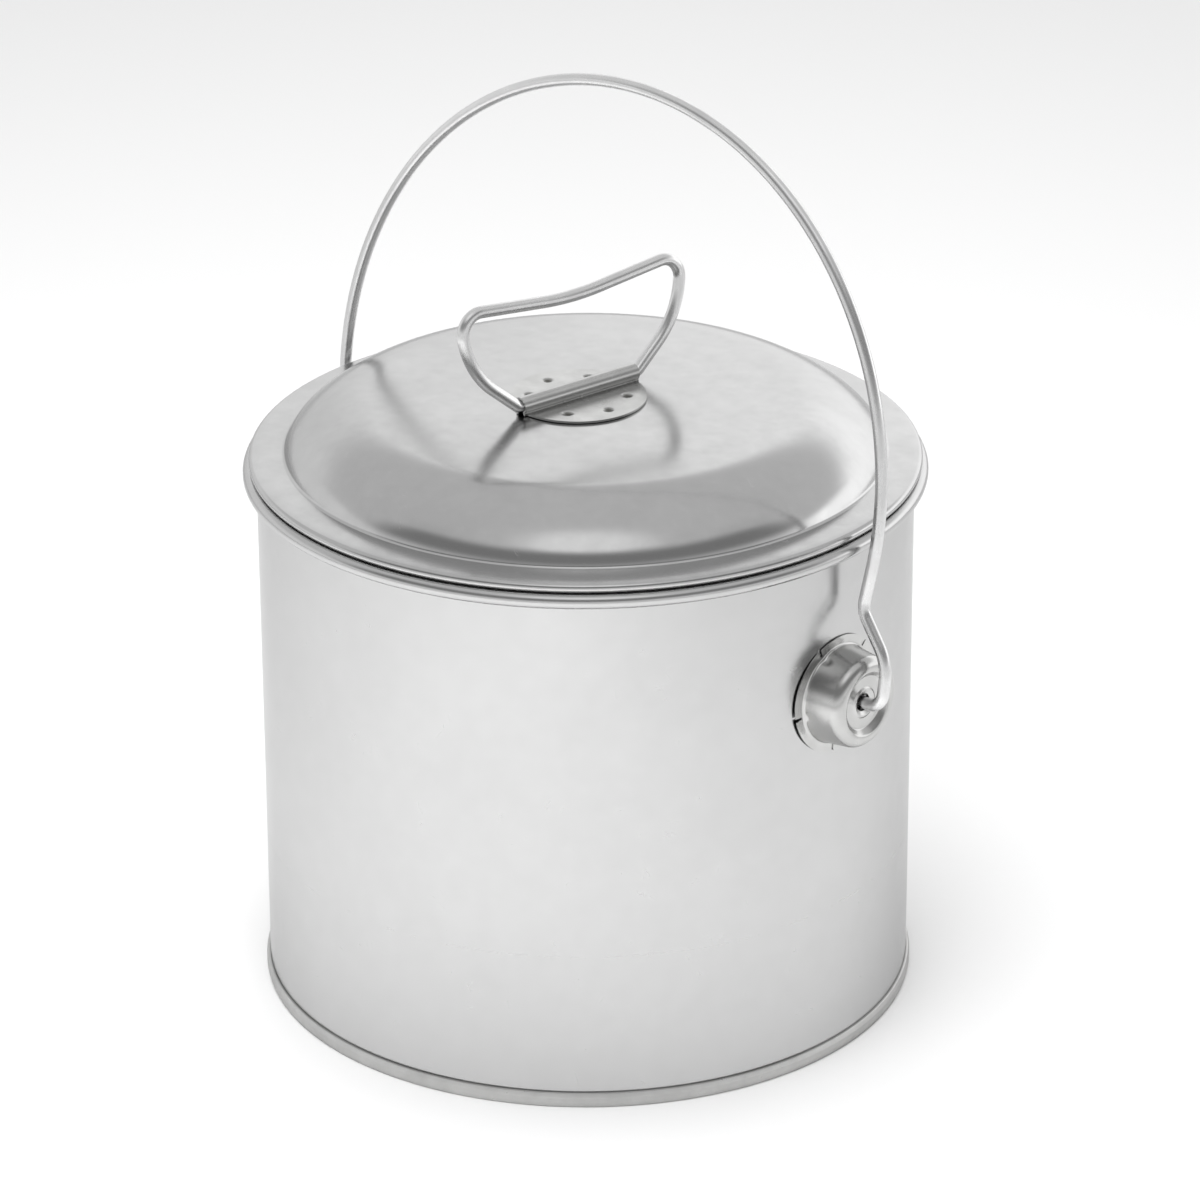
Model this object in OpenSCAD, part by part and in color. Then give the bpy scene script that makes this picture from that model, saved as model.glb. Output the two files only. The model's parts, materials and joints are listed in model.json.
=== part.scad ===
// Tinplate milk can: a straight-sided pail with a wired rim, two pressed ears,
// a swinging wire bail and a domed lift-off lid with a folding wire handle.
// Origin at the centre of the foot, +Z up, the two ears on the X axis.
// Every sheet-metal piece is an outline of one face of the sheet, thickened to
// the left of its direction of travel and turned about an axis. Every wire is
// a centre line of straight runs and round bends.

/* [Sheet] */
// Thickness of the tinplate
sheet_t = 0.4; // [0.3:0.05:0.8]
// Gap between layers that are folded or soldered together
layer_gap = 0.02; // [0.01:0.01:0.05]

/* [Can body] */
// Outside diameter of the straight wall
body_d = 215; // [180:1:260]
// Height from the table to the top of the wired rim
can_h = 182.2; // [150:0.1:260]
// Diameter of the wire inside the rim
rim_wire_d = 4; // [3:0.1:5]
// How far round the rim wire the sheet is wrapped, in degrees
rim_wrap = 315; // [280:5:320]
// Width of the locked seam down the back of the wall
lock_seam_w = 5; // [4:0.5:8]
// Height of the double seam round the foot
foot_seam_h = 5.2; // [4:0.1:8]
// Height of the bottom panel above the table
panel_lift = 4; // [2.5:0.1:6]
// Bend radius of the folded edges at the foot
foot_bend = 0.5; // [0.2:0.1:0.6]

/* [Ears] */
// Distance of the ear axis below the top of the rim
ear_drop = 51.9; // [40:0.1:60]
// Diameter of the flat flange
ear_flange_d = 39.4; // [37:0.1:44]
// Diameter of the cup where it leaves the flange
ear_cup_d = 32.6; // [32:0.1:35]
// Diameter of the cup at its rounded lip
ear_lip_d = 29.6; // [28:0.1:30]
// Distance of the lip from the can wall
ear_depth = 13; // [12:0.1:15]
// Diameter of the sunk centre dish
ear_dish_d = 17.6; // [15:0.1:19]
// Depth of the centre dish below the lip
ear_dish_depth = 2; // [1:0.1:2.5]
// Number of notches that split the flange into petals
petal_count = 5; // [4:1:8]
// Direction of the first notch, in degrees from straight down
notch_turn = 64; // [0:1:90]
// Width of each notch
notch_w = 0.9; // [0.5:0.1:1.5]
// Gap between the flange and the can wall on the centre line
ear_seat_gap = 0.05; // [0.02:0.01:0.2]

/* [Bail] */
// Diameter of the bail wire
bail_wire_d = 4; // [3:0.1:5]
// Play of the bail wire in the ear hole, on the radius
bail_play = 1; // [0.5:0.1:1.2]
// Gap between the can wall and the centre line of the arch
arch_gap = 8.9; // [8:0.1:14]
// Height of the arch centre above the ear axis
arch_lift = 57.6; // [54:0.1:90]
// How far the bail wire stands out from the wall where it rounds the ear
bulge_gap = 18.2; // [17.5:0.1:22]
// Height above the ear axis where the wire turns back towards the rim
bulge_h = 15.2; // [14:0.1:18]
// Height of the sharp kink above the ear axis
kink_h = 29.8; // [28:0.1:32]
// How far the kink stands out from the wall
kink_gap = 6.3; // [5.5:0.1:7]
// Height of the turned-up end inside the ear
hook_h = 7.5; // [6:0.1:8.5]
// Lean of the bail from upright, towards +Y, in degrees
bail_lean = 8.6; // [0:0.1:30]

/* [Lid] */
// Diameter of the hollow curl round the lid edge
curl_d = 3; // [2.4:0.1:4]
// How far the curl centre lies inside the rim wire centre
curl_inset = 1; // [0:0.1:2]
// Gap between the curl and the rim it rests on
lid_seat_gap = 0.2; // [0.1:0.05:0.3]
// Width of the flat brim from the curl centre to the foot of the dome
brim_w = 7.1; // [6:0.1:12]
// Height of the crown above the brim
dome_h = 18.5; // [14:0.1:22]
// Radius of the nearly flat crown
crown_r = 2000; // [1200:50:3000]
// Radius of the shoulder round the crown
shoulder_r = 37.3; // [24:0.1:40]
// Slope of the dome side, in degrees
dome_slope = 53.5; // [45:0.5:60]
// Bend radius at the foot of the dome
dome_foot_r = 2.9; // [1:0.1:5]
// Depth of the skirt below the brim
skirt_h = 12.5; // [8:0.1:25]
// Running gap between the skirt and the inside of the can
skirt_gap = 0.6; // [0.3:0.1:1.5]
// Width of the skirt's top flange under the brim
skirt_flange_w = 3.4; // [2:0.1:4]

/* [Lid handle] */
// Diameter of the handle wire
handle_wire_d = 4; // [3:0.1:5]
// Play of the handle wire in its barrel, on the radius
barrel_play = 0.08; // [0.05:0.01:0.1]
// Thickness of the bracket sheet
bracket_t = 0.8; // [0.5:0.1:1.2]
// Diameter of the bracket plate
bracket_d = 45; // [38:1:46]
// Length of the rolled barrel
barrel_l = 47; // [46:1:48]
// Distance of the bracket centre from the lid centre, along the barrel
bracket_shift = 3; // [0:0.5:6]
// Gap between the bracket plate and the crown on the lid centre
bracket_seat_gap = 0.05; // [0.02:0.01:0.1]
// Direction of the barrel, in degrees from the ear axis
handle_turn = 80; // [0:1:180]
// Width of the handle between its wire centres, at the widest
handle_w = 88; // [84:1:100]
// Height of the handle corners above the barrel axis
handle_h = 35; // [33:0.5:45]
// Dip of the handle's top bar at its middle
handle_dip = 3.8; // [0:0.1:6]
// Lean of the handle from upright, in degrees
handle_lean = 5.2; // [0:0.1:30]
// Number of spot welds in the bracket plate
weld_count = 6; // [6:2:6]
// Radius of the circle of spot welds
weld_circle_r = 16; // [14:0.5:18]

/* [Hidden] */
$fn = 96;
wire_fn = 24;
bend_fn = 64;
bend_steps = 8;
joint_swell = 1.02;
joint_l = 0.5;
joint_slit = 0.05;

tin = [0.80, 0.81, 0.82];
tin_dark = [0.70, 0.71, 0.72];
wire_grey = [0.74, 0.75, 0.76];

body_r = body_d / 2;
wall_in_r = body_r - sheet_t;
rim_wire_r = rim_wire_d / 2;
rim_ring_r = body_r + layer_gap + rim_wire_r;
rim_z = can_h - sheet_t - layer_gap - rim_wire_r;
foot_r = body_r + 3 * (layer_gap + sheet_t);

ear_z = can_h - ear_drop;
ear_hole_r = bail_wire_d / 2 + bail_play;
dish_face = ear_depth - ear_dish_depth;
hook_out = dish_face - sheet_t - bail_wire_d;
arch_r = body_r + arch_gap;

curl_r = curl_d / 2;
curl_ring_r = rim_ring_r - curl_inset;
curl_z = can_h + lid_seat_gap + curl_r;
brim_z = curl_z + curl_r;
dome_foot = curl_ring_r - brim_w;
crown_z = brim_z + dome_h;

barrel_in_r = handle_wire_d / 2 + barrel_play;
barrel_r = barrel_in_r + bracket_t;
bracket_z = crown_z + bracket_seat_gap;
barrel_z = bracket_z + barrel_r;

// Unit vector at an angle, and a unit vector turned a quarter to the left
function dir(a) = [cos(a), sin(a)];
function left(v) = [-v[1], v[0]];
function unit(v) = v / norm(v);
function heading(v) = atan2(v[1], v[0]);
// Signed angle from direction u to direction v
function turn(u, v) = atan2(u[0] * v[1] - u[1] * v[0], u * v);
function sign_of(x) = x < 0 ? -1 : 1;
function xy(p) = [p[0], p[1]];
function bend(p) = len(p) > 2 ? p[2] : 0;

// Points of an arc about c from angle a to angle b
function arc(c, r, a, b, steps) =
    [for (i = [0:steps]) c + r * dir(a + (b - a) * i / steps)];

// The rounded corner at q between the runs from p and to s: its start point,
// its centre, the signed turn and the bend radius
function corner(p, q, s) =
    let (
        u = unit(xy(q) - xy(p)),
        v = unit(xy(s) - xy(q)),
        t = turn(u, v),
        start = xy(q) - u * bend(q) * tan(abs(t) / 2)
    )
    [start, start + sign_of(t) * bend(q) * left(u), t, bend(q)];

// Points along a run of corners [x, y, bend radius]
function rounded(path) = [
    for (i = [0:len(path) - 1])
        if (i == 0 || i == len(path) - 1 || bend(path[i]) == 0)
            xy(path[i])
        else
            let (
                k = corner(path[i - 1], path[i], path[i + 1]),
                a = heading(k[0] - k[1])
            )
            each arc(k[1], k[3], a, a + k[2], bend_steps)
];

// The far face of a sheet of thickness t, to the left of the given face
function far_face(path, t) = [
    for (i = [0:len(path) - 1])
        let (
            u = unit(path[max(i, 1)] - path[max(i, 1) - 1]),
            j = min(i, len(path) - 2),
            v = unit(path[j + 1] - path[j])
        )
        path[i] + t * (left(u) + left(v)) / (1 + u * v)
];

// A sheet-metal piece turned about the Z axis from one face of the sheet
module turned_sheet(path, t = sheet_t) {
    far = far_face(path, t);
    rotate_extrude()
        polygon(concat(path, [for (i = [len(far) - 1:-1:0]) [max(far[i][0], 0), far[i][1]]]));
}

// A straight run of wire between two points of the XY plane, a hair short at
// both ends, where a joint closes it
module wire_run(p, q, d) {
    translate([p[0], p[1], 0])
        rotate([0, 90, heading(q - p)])
            translate([0, 0, joint_slit])
                cylinder(d = d, h = norm(q - p) - 2 * joint_slit, $fn = wire_fn);
}

// A round bend of wire about centre c, starting at angle a, short in the same way
module wire_bend(c, r, a, sweep, d) {
    slit = joint_slit / r * 180 / PI;
    translate([c[0], c[1], 0])
        rotate([0, 0, (sweep < 0 ? a + sweep : a) + slit])
            rotate_extrude(angle = abs(sweep) - 2 * slit, $fn = bend_fn)
                translate([r, 0])
                    circle(d = d, $fn = wire_fn);
}

// Where a run meets a bend at heading a: a short collar a hair thicker than
// the wire, which joins the two
module wire_joint(p, a, d) {
    translate([p[0], p[1], 0])
        rotate([0, 90, a])
            cylinder(d = d * joint_swell, h = joint_l, center = true, $fn = wire_fn);
}

// A wire along a run of corners [x, y, bend radius] in the XY plane
module bent_wire(path, d) {
    last = len(path) - 1;
    bends = [for (i = [1:last - 1]) corner(path[i - 1], path[i], path[i + 1])];
    starts = concat([for (k = bends) k[0]], [xy(path[last])]);
    ends = concat([xy(path[0])], [
        for (k = bends) k[1] + k[3] * dir(heading(k[0] - k[1]) + k[2])
    ]);
    for (i = [0:last - 1])
        wire_run(ends[i], starts[i], d);
    for (k = bends)
        wire_bend(k[1], k[3], heading(k[0] - k[1]), k[2], d);
    for (i = [0:last - 2]) {
        wire_joint(starts[i], heading(xy(path[i + 1]) - xy(path[i])), d);
        wire_joint(ends[i + 1], heading(xy(path[i + 2]) - xy(path[i + 1])), d);
    }
}

// Wall rolled from one sheet: folded hook at the foot, straight side, and the
// top edge wrapped outwards round the rim wire
module body_wall() {
    hook_r = body_r + 2 * layer_gap + sheet_t;
    hook_z = layer_gap + 2 * sheet_t;
    hook_top = foot_seam_h - sheet_t - layer_gap;
    seam_z = foot_seam_h + sheet_t;
    wrap_r = rim_wire_r + layer_gap;
    side = rounded([
        [hook_r, hook_top], [hook_r, hook_z, layer_gap], [body_r, hook_z, layer_gap], [body_r, rim_z]
    ]);
    wrap = arc([rim_ring_r, rim_z], wrap_r, 180 - rim_wrap / 40, 180 - rim_wrap, 39);
    seam_top = rim_z - wrap_r - 2 * sheet_t;
    color(tin) {
        turned_sheet(concat(side, wrap));
        intersection() {
            difference() {
                cylinder(r = body_r + 2 * sheet_t, h = seam_top);
                translate([0, 0, -1])
                    cylinder(r = body_r - sheet_t / 2, h = seam_top + 2);
            }
            translate([-lock_seam_w / 2, 0, seam_z])
                cube([lock_seam_w, body_d, seam_top - seam_z]);
        }
    }
}

// Hard wire ring that the rim is wrapped round
module rim_wire() {
    color(wire_grey)
        translate([0, 0, rim_z])
            rotate_extrude()
                translate([rim_ring_r, 0])
                    circle(d = rim_wire_d, $fn = wire_fn);
}

// Bottom: raised panel, chuck wall, and the rim folded over the wall's hook
module base_pan() {
    chuck_r = wall_in_r - layer_gap - sheet_t;
    fold_r = body_r + layer_gap;
    fold_end = 2 * (layer_gap + sheet_t) + layer_gap;
    color(tin_dark)
        turned_sheet(rounded([
            [0, panel_lift], [chuck_r, panel_lift, foot_bend], [chuck_r, 0], [foot_r, 0, foot_bend],
            [foot_r, foot_seam_h, foot_bend], [fold_r, foot_seam_h], [fold_r, fold_end]
        ]));
}

// Pressed ear: petalled flange, tapered cup, rounded lip and sunk dish with a
// centre hole for the bail
module ear() {
    face = ear_seat_gap + sheet_t;
    lip_r = ear_lip_d / 2;
    dish_r = ear_dish_d / 2;
    notch_in = ear_cup_d / 2 + 1;
    difference() {
        turned_sheet(rounded([
            [ear_flange_d / 2, face], [ear_cup_d / 2, face, 0.8], [lip_r, ear_depth, 2.6],
            [dish_r + 0.6, ear_depth, 1.4], [dish_r, dish_face, 0.5], [ear_hole_r, dish_face]
        ]));
        for (i = [0:petal_count - 1])
            rotate([0, 0, notch_turn + i * 360 / petal_count])
                translate([notch_in, -notch_w / 2, -1])
                    cube([ear_flange_d, notch_w, face + 2]);
    }
}

module ear_right() {
    color(tin)
        translate([body_r, 0, ear_z])
            rotate([0, 90, 0])
                ear();
}

module ear_left() {
    color(tin)
        translate([-body_r, 0, ear_z])
            rotate([0, -90, 0])
                ear();
}

// One side of the bail: turned-up end inside the ear, straight pin through the
// ear hole, round the outside of the ear, kink, run to the arch and half arch.
// The arch is a little more than half a circle, and the run from the kink
// meets it on a tangent.
module bail_side() {
    bulge_x = body_r + bulge_gap;
    reach = [body_r + kink_gap, kink_h - arch_lift];
    below = -heading(reach) - acos(arch_r / norm(reach));
    springing = [0, arch_lift] + arch_r * dir(-below);
    bent_wire([
        [body_r + hook_out, hook_h], [body_r + hook_out, 0, 3], [bulge_x, 0, 5],
        [bulge_x, bulge_h, 16], [body_r + kink_gap, kink_h, 4], springing
    ], bail_wire_d);
    wire_joint(springing, 90 - below, bail_wire_d);
    wire_bend([0, arch_lift], arch_r, -below, 90 + below, bail_wire_d);
}

// Bail drawn with the ear axis as its X axis
module bail() {
    color(wire_grey)
        translate([0, 0, ear_z])
            rotate([90 - bail_lean, 0, 0]) {
                bail_side();
                mirror([1, 0, 0])
                    bail_side();
                wire_joint([0, arch_lift + arch_r], 0, bail_wire_d);
            }
}

// Lid pressed from one sheet: nearly flat crown, round shoulder, sloping side,
// flat brim and an edge curled under into a hollow bead
module lid_cover() {
    normal = dir(90 - dome_slope);
    foot = [
        dome_foot - dome_foot_r * sin(dome_slope),
        brim_z + dome_foot_r * (1 - cos(dome_slope))
    ];
    crown_c = [0, crown_z - crown_r];
    reach = (normal * (foot - crown_c) - shoulder_r) / (crown_r - shoulder_r);
    crown_a = dome_slope - acos(reach);
    shoulder_c = crown_c + (crown_r - shoulder_r) * dir(90 - crown_a);
    curl = arc([curl_ring_r, curl_z], curl_r, 150, 450, 30);
    foot_bend_points = arc([dome_foot, brim_z + dome_foot_r], dome_foot_r, 270, 270 - dome_slope, 10);
    shoulder = arc(shoulder_c, shoulder_r, 90 - dome_slope, 90 - crown_a, 16);
    crown = arc(crown_c, crown_r, 90 - crown_a, 90, 6);
    crown_run = concat([for (i = [1:5]) crown[i]], [[0, crown_z]]);
    color(tin)
        turned_sheet(concat(curl, foot_bend_points, shoulder, crown_run));
}

// Band under the brim that keeps the lid centred in the mouth of the can
module lid_skirt() {
    skirt_r = wall_in_r - skirt_gap;
    top = brim_z - sheet_t - layer_gap;
    color(tin_dark)
        turned_sheet(rounded([
            [skirt_r, top - skirt_h], [skirt_r, top, 0.6], [skirt_r - skirt_flange_w, top]
        ]));
}

// Everything on the lid top shares this frame: X along the barrel, origin on
// its axis at the middle of the bracket
module on_barrel() {
    rotate([0, 0, handle_turn])
        translate([-bracket_shift, 0, barrel_z])
            children();
}

// Round plate with a rolled barrel across it, spot welded to the crown
module handle_bracket() {
    weld_dent_r = 2.6;
    weld_dent_depth = 0.3;
    color(tin)
        on_barrel()
            difference() {
                union() {
                    translate([0, 0, -barrel_r])
                        cylinder(d = bracket_d, h = bracket_t);
                    translate([-barrel_l / 2, 0, 0])
                        rotate([0, 90, 0])
                            cylinder(r = barrel_r, h = barrel_l);
                }
                translate([-barrel_l / 2 - 1, 0, 0])
                    rotate([0, 90, 0])
                        cylinder(r = barrel_in_r, h = barrel_l + 2);
                for (side = [-1, 1], k = [0:weld_count / 2 - 1])
                    rotate([0, 0, side * (40 + 50 * k)])
                        translate([weld_circle_r, 0, bracket_t - barrel_r + weld_dent_r - weld_dent_depth])
                            sphere(r = weld_dent_r, $fn = wire_fn);
            }
}

// Handle bent from one wire whose two ends meet inside the barrel: flared
// legs, round top corners and a top bar that dips at the middle. The top
// corner lies a little outside the bend that rounds it.
module lid_handle() {
    end_gap = 0.8;
    top = [handle_w / 2 + 2.1, handle_h + 0.9];
    bar_mid = handle_h - handle_dip;
    bar_slope = heading(top - [0, bar_mid]);
    dip_r = 40;
    dip_end = [0, bar_mid] + dip_r * tan(bar_slope) * dir(bar_slope);
    dip_c = dip_end + dip_r * left(dir(bar_slope));
    color(wire_grey)
        on_barrel()
            rotate([90 - handle_lean, 0, 0]) {
                for (side = [0, 1])
                    mirror([side, 0, 0]) {
                        bent_wire([
                            [end_gap / 2, 0], [barrel_l / 2 + 1, 0, 3], [handle_w / 2 - 2.3, 14.6, 30],
                            [top[0], top[1], 7], dip_end
                        ], handle_wire_d);
                        wire_joint(dip_end, bar_slope, handle_wire_d);
                        wire_bend(dip_c, dip_r, 270, bar_slope, handle_wire_d);
                    }
                wire_joint([0, dip_c[1] - dip_r], 0, handle_wire_d);
            }
}

body_wall();
rim_wire();
base_pan();
ear_right();
ear_left();
bail();
lid_cover();
lid_skirt();
handle_bracket();
lid_handle();
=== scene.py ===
# %% [markdown]
# # A tinplate milk can
# A small lidded dairy pail: a rolled wall with a wired rim, a seamed bottom, two pressed ears, a wire
# bail, and a domed lid with a folding wire handle. Every piece of it is either a sheet turned about an
# axis or a wire carried along a path, so two surface makers are enough for the whole can. The packed
# model is loaded first, and each new piece is laid exactly where its plain solid lies.

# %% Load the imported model
import json
import math

import bpy
import numpy as np
from mathutils import Matrix, Vector


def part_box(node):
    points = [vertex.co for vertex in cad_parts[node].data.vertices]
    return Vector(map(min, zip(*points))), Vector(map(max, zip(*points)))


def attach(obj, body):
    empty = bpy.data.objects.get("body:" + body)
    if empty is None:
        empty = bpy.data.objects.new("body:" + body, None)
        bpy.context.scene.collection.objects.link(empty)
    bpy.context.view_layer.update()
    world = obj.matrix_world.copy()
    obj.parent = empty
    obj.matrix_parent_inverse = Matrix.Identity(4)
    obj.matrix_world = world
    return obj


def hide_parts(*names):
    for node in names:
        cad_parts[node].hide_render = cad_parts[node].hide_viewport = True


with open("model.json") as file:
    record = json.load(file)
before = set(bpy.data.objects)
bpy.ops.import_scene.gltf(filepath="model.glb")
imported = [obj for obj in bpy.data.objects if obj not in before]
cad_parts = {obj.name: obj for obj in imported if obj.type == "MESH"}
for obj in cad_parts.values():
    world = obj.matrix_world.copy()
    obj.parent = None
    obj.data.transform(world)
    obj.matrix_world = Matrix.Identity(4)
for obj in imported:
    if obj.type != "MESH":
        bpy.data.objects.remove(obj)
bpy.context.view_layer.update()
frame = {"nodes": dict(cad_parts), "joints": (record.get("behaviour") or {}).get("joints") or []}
MM = 0.001

# %% [markdown]
# ## Sizes
# The places come from the solids: the radius of the foot, the top of the rim and the axes of the two
# swinging wires are read from the loaded boxes and joints. What a box can't tell, such as the thickness
# of the sheet or the radius of a bend, is a named value in millimetres.

# %% Places read from the solids, in millimetres
def box_mm(node):
    low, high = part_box(node)
    return np.array(low, float) / MM, np.array(high, float) / MM


def joint_mm(name):
    joint = next(j for j in frame["joints"] if j["name"] == name)
    return np.array(joint["pos_m"], float) / MM, np.array(joint["axis"], float)


foot_r = box_mm("base_pan")[1][0]
rim_top = box_mm("body_wall")[1][2]
rim_r = box_mm("body_wall")[1][0]
ear_flange_x = box_mm("ear_right")[0][0]
ear_lip_x = box_mm("ear_right")[1][0]
ear_z = joint_mm("bail_swing")[0][2]
lid_edge_z = box_mm("lid_cover")[0][2]
crown_z = box_mm("lid_cover")[1][2]
barrel_mid, barrel_axis = joint_mm("lid_handle_swing")
print("rim", round(rim_r, 1), "mm radius, top at", round(rim_top, 1), "mm")
print("crown at", round(crown_z, 1), "mm")

# %% Sheet and wire
SHEET = 0.4
LAYER = 0.02
WIRE_R = 2.0
wrap_r = WIRE_R + LAYER + SHEET
wall_r = rim_r - 2 * wrap_r + SHEET
print("outside of the wall at", round(wall_r, 2), "mm")

# %% [markdown]
# ## Two surface makers
# A turned sheet is a closed outline in the plane of radius and height, swept round an axis. A wire is a
# circle carried along a flat path. Both give rows of rings, so one function skins them: ring after ring
# of points becomes a band of four-sided faces, and each open end is closed by a fan to one point.
# The same grid carries a UV map in millimetres, along the outline and round the ring, so a finish
# can follow the metal. The signed volume of the result tells whether its faces point outwards.

# %% Skin rows of rings
def signed_volume(points, faces):
    """Sum of the tetrahedra that each face, cut into triangles, makes with the origin."""
    corners = points[faces]
    first = np.einsum("ij,ij->i", corners[:, 0], np.cross(corners[:, 1], corners[:, 2]))
    second = np.einsum("ij,ij->i", corners[:, 0], np.cross(corners[:, 2], corners[:, 3]))
    return (first + second).sum() / 6


def skin(name, rings, around_mm, closed=False, ends=None, crease=35):
    """Rings is an array (rows, points, 3) in millimetres. Face (i, j) joins points j and j+1 of rings
    i and i+1. closed joins the last ring to the first. Otherwise each end is closed: by a fan to one of
    the two points in ends or, where the ring is a bent strip, by faces from its one side to the other.
    UV is the distance round the ring and the distance from ring to ring."""
    rows, count, _ = rings.shape
    spans = rows if closed else rows - 1
    i, j = np.meshgrid(np.arange(spans), np.arange(count), indexing="ij")
    below, beside = (i + 1) % rows, (j + 1) % count
    quads = np.stack([i * count + j, i * count + beside, below * count + beside, below * count + j], -1)
    quads = quads.reshape(-1, 4)
    steps = np.linalg.norm(np.diff(rings[:, 0], axis=0, append=rings[:1, 0]), axis=1)
    along = np.concatenate([[0], np.cumsum(steps)])
    u = np.stack([around_mm[j], around_mm[j + 1], around_mm[j + 1], around_mm[j]], -1)
    v = np.stack([along[i], along[i], along[i + 1], along[i + 1]], -1)
    uv = np.stack([u, v], -1).reshape(-1, 2)
    points = rings.reshape(-1, 3)
    loops, totals = quads.reshape(-1), np.full(len(quads), 4)
    if not closed and ends is None:
        k = np.arange(count // 2 - 1)
        strip = np.stack([k, k + 1, count - 2 - k, count - 1 - k], -1)
        caps = np.concatenate([strip[:, ::-1], strip + (rows - 1) * count])
        loops, totals = np.concatenate([loops, caps.reshape(-1)]), np.full(len(quads) + len(caps), 4)
        uv = np.concatenate([uv, np.zeros((caps.size, 2))])
    elif not closed:
        points = np.concatenate([points, np.array(ends, float)])
        k = np.arange(count)
        following, last = np.roll(k, -1), (rows - 1) * count
        near = np.stack([np.full(count, rows * count), following, k], -1)
        far = np.stack([np.full(count, rows * count + 1), last + k, last + following], -1)
        near_uv = np.stack([np.stack([around_mm[k], along[0] + 0 * k], -1)] * 3, 1).reshape(-1, 2)
        far_uv = np.stack([np.stack([around_mm[k], along[rows - 1] + 0 * k], -1)] * 3, 1).reshape(-1, 2)
        loops = np.concatenate([loops, near.reshape(-1), far.reshape(-1)])
        totals = np.concatenate([totals, np.full(2 * count, 3)])
        uv = np.concatenate([uv, near_uv, far_uv])
    inside_out = signed_volume(points, quads) < 0
    mesh = bpy.data.meshes.new(name)
    mesh.vertices.add(len(points))
    mesh.vertices.foreach_set("co", (points * MM).ravel())
    mesh.loops.add(len(loops))
    mesh.loops.foreach_set("vertex_index", loops)
    mesh.polygons.add(len(totals))
    mesh.polygons.foreach_set("loop_start", np.concatenate([[0], np.cumsum(totals)[:-1]]))
    mesh.polygons.foreach_set("loop_total", totals)
    mesh.update(calc_edges=True)
    mesh.uv_layers.new(name="sheet_mm").data.foreach_set("uv", uv.ravel())
    if inside_out:
        mesh.flip_normals()
    mesh.polygons.foreach_set("use_smooth", np.ones(len(totals), bool))
    mesh.set_sharp_from_angle(angle=math.radians(crease))
    piece = bpy.data.objects.new(name, mesh)
    bpy.context.collection.objects.link(piece)
    print(f"{name}: {len(totals)} faces")
    return piece


# %% Outlines with round corners
def unit(v):
    return v / np.linalg.norm(v)


def left(v):
    return np.array([-v[1], v[0]])


def arc(centre, radius, start, stop, steps):
    """Points of a circle about centre from angle start to angle stop, in degrees."""
    a = np.radians(np.linspace(start, stop, steps + 1))
    return np.array(centre) + radius * np.stack([np.cos(a), np.sin(a)], -1)


def rounded(corners, steps=10):
    """A run of corners (x, y, bend radius). Each bend is the circle that touches both its runs: it
    starts at a distance radius times tan(half the turn) before the corner."""
    out = [np.array(corners[0][:2], float)[None]]
    for before, here, after in zip(corners, corners[1:], corners[2:]):
        p, q, s = (np.array(c[:2], float) for c in (before, here, after))
        u, v = unit(q - p), unit(s - q)
        turn = math.atan2(u[0] * v[1] - u[1] * v[0], u @ v)
        radius = here[2] if len(here) > 2 else 0
        if radius == 0 or abs(turn) < 1e-6:
            out.append(q[None])
            continue
        start = q - u * radius * math.tan(abs(turn) / 2)
        centre = start + math.copysign(radius, turn) * left(u)
        first = math.degrees(math.atan2(*(start - centre)[::-1]))
        out.append(arc(centre, radius, first, first + math.degrees(turn), steps))
    out.append(np.array(corners[-1][:2], float)[None])
    return np.concatenate(out)


def far_face(path, thickness):
    """The path moved to its left by the thickness: each point goes along the sum of the left normals
    of its two runs, stretched so that both runs end up the full thickness away."""
    steps = np.diff(path, axis=0)
    steps /= np.linalg.norm(steps, axis=1, keepdims=True)
    into, out = np.vstack([steps[:1], steps]), np.vstack([steps, steps[-1:]])
    normals = np.stack([-(into + out)[:, 1], (into + out)[:, 0]], -1)
    return path + thickness * normals / (1 + np.einsum("ij,ij->i", into, out))[:, None]


def sheet_outline(path, thickness=SHEET):
    return np.concatenate([path, far_face(path, thickness)[::-1]])


# %% Turned sheets and bent wires
def turned(outline, angles):
    """Each outline point (radius, height) becomes a ring: x and y are radius times the cosine and
    the sine of the angle."""
    r, z = outline[:, :1], outline[:, 1:]
    return np.stack([r * np.cos(angles), r * np.sin(angles), z + 0 * angles], -1)


def full_turn(steps):
    return np.linspace(0, 2 * math.pi, steps, endpoint=False)


def wire_rings(path, radius, sides=28):
    """A circle carried along a flat path in the XZ plane: its plane holds Y and the left normal of
    the path, and it is stretched at a corner so that the wire keeps its width."""
    a = full_turn(sides)
    steps = np.diff(path, axis=0)
    steps /= np.linalg.norm(steps, axis=1, keepdims=True)
    into, out = np.vstack([steps[:1], steps]), np.vstack([steps, steps[-1:]])
    side = np.stack([-(into + out)[:, 1], (into + out)[:, 0]], -1)
    side /= (1 + np.einsum("ij,ij->i", into, out))[:, None]
    flat = path[:, None] + radius * np.cos(a)[:, None] * side[:, None]
    return np.stack([flat[..., 0], np.broadcast_to(radius * np.sin(a), flat.shape[:2]), flat[..., 1]], -1)


def round_mm(radius, steps):
    return np.linspace(0, 2 * math.pi * radius, steps + 1)


# %% Fine points along a path
def resample(path, spacing):
    """Adds points to long straight runs, so that no step is longer than the spacing."""
    out = [path[:1]]
    for p, q in zip(path, path[1:]):
        n = max(1, math.ceil(np.linalg.norm(q - p) / spacing))
        out.append(p + (q - p) * np.arange(1, n + 1)[:, None] / n)
    return np.concatenate(out)

# %% [markdown]
# ## The wall and its wired rim
# The wall is one sheet, rolled up and locked down the back, with its top edge wrapped outwards round a
# wire. A cylinder with a torus on top would look like this from afar, but the real edge is one
# continuous surface, and light runs over it without a break. So the outline of the sheet goes up the
# wall and round the wire, and is turned. Hand work leaves the sheet very slightly uneven, which is
# what makes its reflections wander: the radius gets a slow wave of a tenth of a millimetre.

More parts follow.
